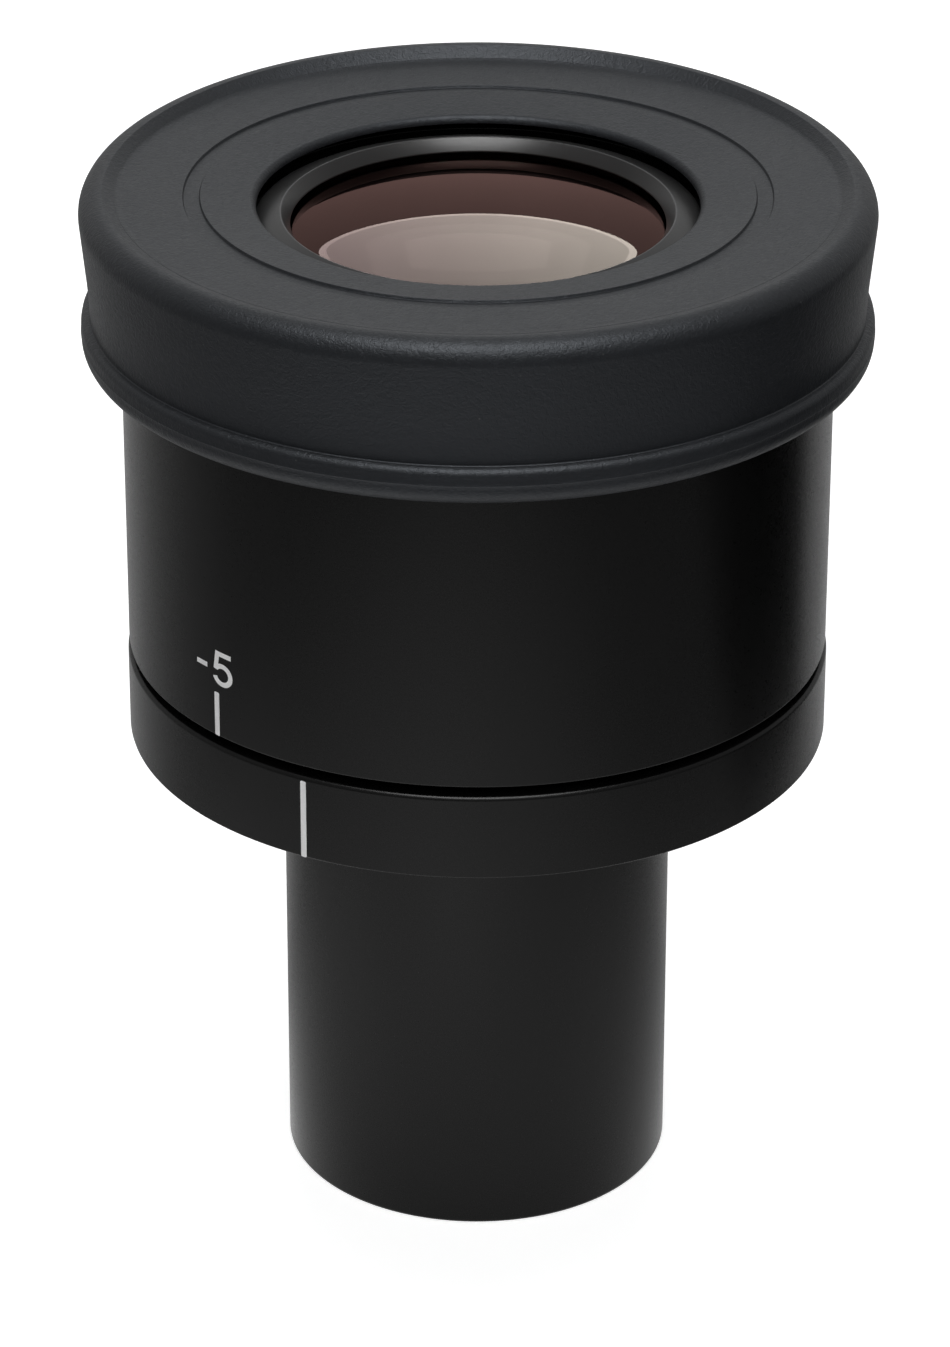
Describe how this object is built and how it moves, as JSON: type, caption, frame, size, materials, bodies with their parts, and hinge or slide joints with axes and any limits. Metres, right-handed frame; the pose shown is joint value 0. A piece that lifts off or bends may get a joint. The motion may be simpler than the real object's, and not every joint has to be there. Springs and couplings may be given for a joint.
{
  "type": "focusing eyepiece",
  "caption": "Focusing microscope eyepiece with a push-in tube, a turning dioptre ring that lifts the lenses, and a soft rubber eyecup folded down over it.",
  "frame": {"origin": "centre of the insertion tube's open end, on the optical axis", "axes": "+Z along the optical axis towards the eye, -Y towards the front, where the index line stands a little to the left"},
  "size_m": [0.0594, 0.0594, 0.0812],
  "materials": {
    "black_anodised": "satin black anodised",
    "matt_black": "matt black",
    "brass": "turned",
    "steel": "turned",
    "optical_glass": "polished and coated",
    "black_rubber": "finely grained"
  },
  "bodies": {
    "barrel": {"insertion_tube": "black_anodised", "base_ring": "black_anodised", "guide_sleeve": "matt_black", "sleeve_screw_1": "steel", "sleeve_screw_2": "steel", "sleeve_screw_3": "steel", "field_stop": "matt_black", "field_stop_retainer": "matt_black"},
    "lens_carriage": {"lens_cell": "black_anodised", "eye_lens": "optical_glass", "eye_lens_retainer": "black_anodised", "eye_lens_spacer": "matt_black", "middle_crown_lens": "optical_glass", "middle_flint_lens": "optical_glass", "field_crown_lens": "optical_glass", "field_flint_lens": "optical_glass", "field_lens_retainer": "matt_black", "guide_key": "steel", "guide_key_screw": "steel"},
    "dioptre_knob": {"dioptre_ring": "black_anodised", "helicoid_nut": "brass", "wave_washer": "steel", "thrust_ring": "brass", "lock_screw_1": "steel", "lock_screw_2": "steel", "lock_screw_3": "steel"},
    "rubber_eyecup": {"eyecup": "black_rubber"}
  },
  "joints": [
    {"name": "lens_rise", "type": "slide", "parent": "barrel", "child": "lens_carriage", "axis": [0, 0, 1], "range_m": [0, 0.0075]},
    {"name": "dioptre_turn", "type": "hinge", "parent": "lens_carriage", "child": "dioptre_knob", "pos_m": [0, 0, 0.06], "axis": [0, 0, 1], "range_deg": [0, 216]},
    {"name": "eyecup_pull", "type": "slide", "parent": "dioptre_knob", "child": "rubber_eyecup", "axis": [0, 0, 1], "range_m": [0, 0.012]}
  ],
  "couplings": [
    {"joint": "lens_rise", "follows": "dioptre_turn", "m_per_rad": 0.0019894}
  ]
}
